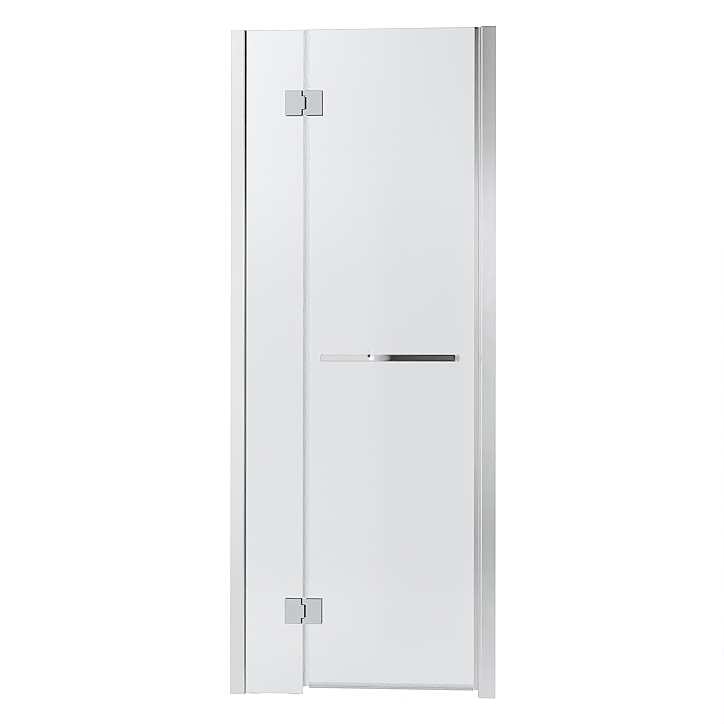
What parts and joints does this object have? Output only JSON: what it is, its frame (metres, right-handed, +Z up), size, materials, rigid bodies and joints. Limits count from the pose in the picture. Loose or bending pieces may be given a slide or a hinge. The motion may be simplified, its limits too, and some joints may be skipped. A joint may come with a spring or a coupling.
{
  "type": "hinged shower door",
  "caption": "Frameless hinged shower door with an inline fixed glass panel, chrome wall channels, glass-to-glass hinges, a flat bar handle and clear edge seals.",
  "frame": {"origin": "middle of the door's footprint at tray level; the glass mid-plane is 22 mm behind it, at Y = +0.022 m", "axes": "+X to the right as seen from the room, +Y from the room into the shower, +Z up; the handle is on the -Y side"},
  "size_m": [0.777, 0.08, 1.95],
  "materials": {
    "bright_aluminium": "bright polished, chrome effect",
    "polished_chrome": "mirror polished chrome plate",
    "clear_glass": "clear toughened, polished edges",
    "clear_seal": "translucent soft vinyl",
    "chrome_vinyl": "vinyl under a bright metallised film",
    "carrier_plastic": "pale grey vinyl",
    "magnet_strip": "dark flexible magnet",
    "dark_rubber": "matt dark rubber",
    "clear_pad": "clear vinyl sheet",
    "nylon": "natural white nylon",
    "black_nylon": "black nylon",
    "stainless_steel": "bright stainless steel",
    "cap_plastic": "silver grey moulded plastic"
  },
  "bodies": {
    "frame": {"adjusting_screws_left": "stainless_steel", "adjusting_screws_right": "stainless_steel", "fixed_glass_panel": "clear_glass", "glass_setting_blocks": "clear_pad", "glazing_gasket_front": "dark_rubber", "glazing_gasket_rear": "dark_rubber", "glazing_profile_left": "bright_aluminium", "lower_hinge_bush": "black_nylon", "lower_hinge_fixed_front_plate": "polished_chrome", "lower_hinge_fixed_gaskets": "dark_rubber", "lower_hinge_fixed_rear_plate": "polished_chrome", "lower_hinge_fixed_screws": "stainless_steel", "lower_hinge_fixed_sleeves": "nylon", "lower_hinge_thrust_washers": "black_nylon", "strike_magnet_carrier": "carrier_plastic", "strike_magnet_strip": "magnet_strip", "strike_profile_right": "bright_aluminium", "top_cap_left": "cap_plastic", "top_cap_right": "cap_plastic", "upper_hinge_bush": "black_nylon", "upper_hinge_fixed_front_plate": "polished_chrome", "upper_hinge_fixed_gaskets": "dark_rubber", "upper_hinge_fixed_rear_plate": "polished_chrome", "upper_hinge_fixed_screws": "stainless_steel", "upper_hinge_fixed_sleeves": "nylon", "upper_hinge_thrust_washers": "black_nylon", "wall_channel_left": "bright_aluminium", "wall_channel_right": "bright_aluminium"},
    "door": {"bottom_sweep": "clear_seal", "door_glass": "clear_glass", "door_magnet_strip": "magnet_strip", "handle_bar": "polished_chrome", "handle_pads": "clear_pad", "handle_rosettes": "polished_chrome", "handle_screws": "stainless_steel", "handle_sleeves": "nylon", "hinge_seal_bottom": "clear_seal", "hinge_seal_middle": "clear_seal", "hinge_seal_top": "clear_seal", "lower_hinge_door_front_plate": "polished_chrome", "lower_hinge_door_gaskets": "dark_rubber", "lower_hinge_door_rear_plate": "polished_chrome", "lower_hinge_door_screws": "stainless_steel", "lower_hinge_door_sleeves": "nylon", "lower_hinge_pin": "stainless_steel", "strike_side_seal": "chrome_vinyl", "upper_hinge_door_front_plate": "polished_chrome", "upper_hinge_door_gaskets": "dark_rubber", "upper_hinge_door_rear_plate": "polished_chrome", "upper_hinge_door_screws": "stainless_steel", "upper_hinge_door_sleeves": "nylon", "upper_hinge_pin": "stainless_steel"}
  },
  "joints": [
    {"name": "door_swing", "type": "hinge", "parent": "frame", "child": "door", "pos_m": [-0.173, 0.012, 0.9892], "axis": [0, 0, -1], "range_deg": [0, 100]}
  ]
}
